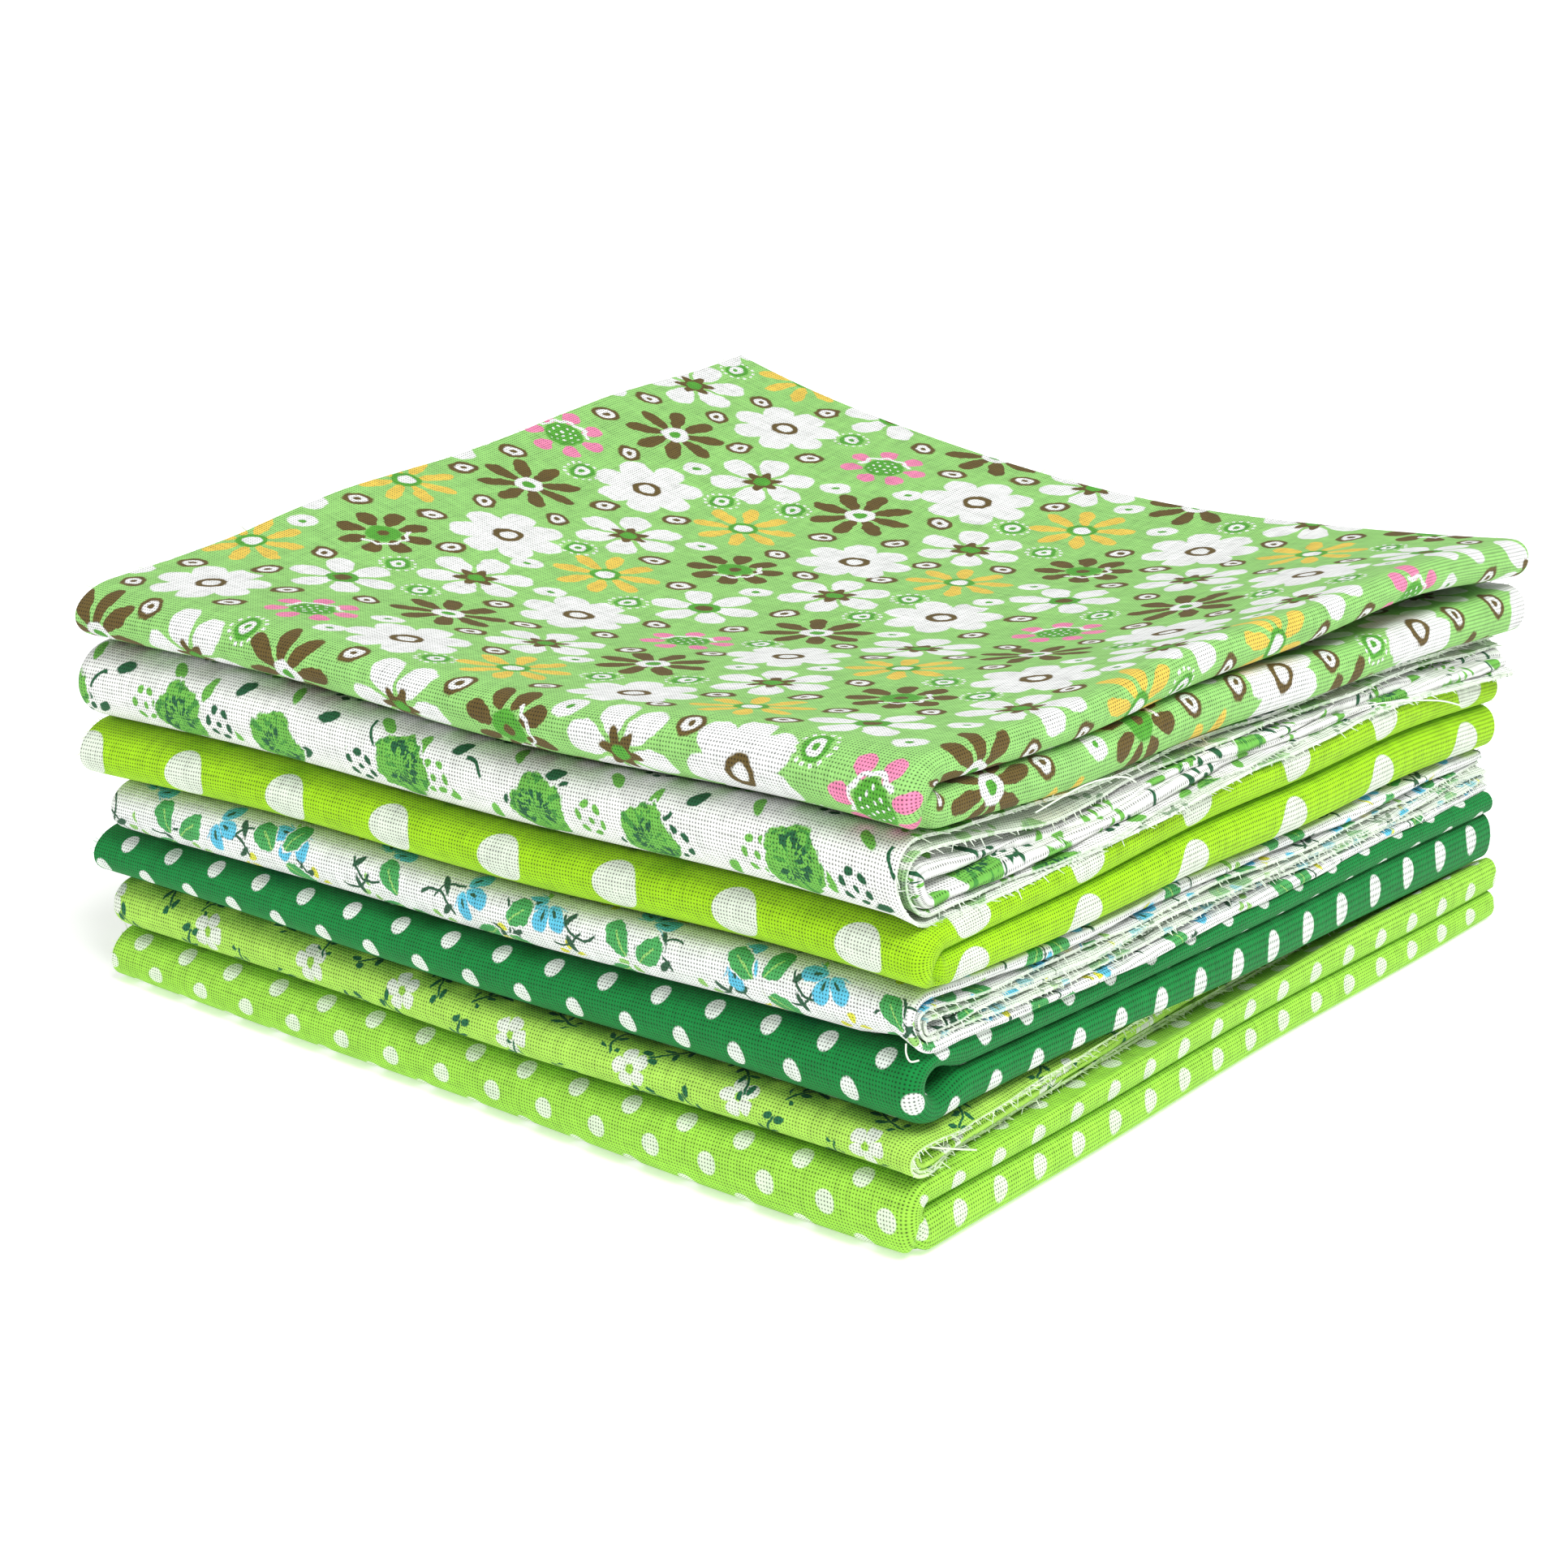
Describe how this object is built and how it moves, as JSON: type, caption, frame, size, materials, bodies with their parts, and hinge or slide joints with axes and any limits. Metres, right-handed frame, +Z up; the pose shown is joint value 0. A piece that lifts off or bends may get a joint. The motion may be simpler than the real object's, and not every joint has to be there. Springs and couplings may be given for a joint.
{
  "type": "stack of folded fabric cuts",
  "caption": "Square stack of folded printed cotton cuts, lying one on another with round front folds, soft side lips and raw cut edges.",
  "frame": {"origin": "middle of the stack's outline on the surface that it rests on", "axes": "+X along the round front folds, +Y from the front folds to the rear, +Z up through the stack"},
  "size_m": [0.127, 0.129, 0.056],
  "materials": {
    "light_dot_cotton": "matt plain-weave cotton, light green with small white dots",
    "sprig_cotton": "matt plain-weave cotton, light green with dark sprigs and pale flowers",
    "dark_dot_cotton": "matt plain-weave cotton, dark green with small white dots",
    "posy_cotton": "matt plain-weave cotton, white with green, blue and yellow sprays",
    "big_dot_cotton": "matt plain-weave cotton, lime green with large white dots",
    "leaf_cotton": "matt plain-weave cotton, white with green flower heads and leaves",
    "daisy_cotton": "matt plain-weave cotton, mid green with white, brown, pink and yellow daisies"
  },
  "bodies": {
    "root": {"light_dot_cloth": "light_dot_cotton", "sprig_cloth": "sprig_cotton", "dark_dot_cloth": "dark_dot_cotton", "posy_cloth": "posy_cotton", "big_dot_cloth": "big_dot_cotton", "leaf_cloth": "leaf_cotton", "daisy_cloth": "daisy_cotton"}
  },
  "joints": []
}
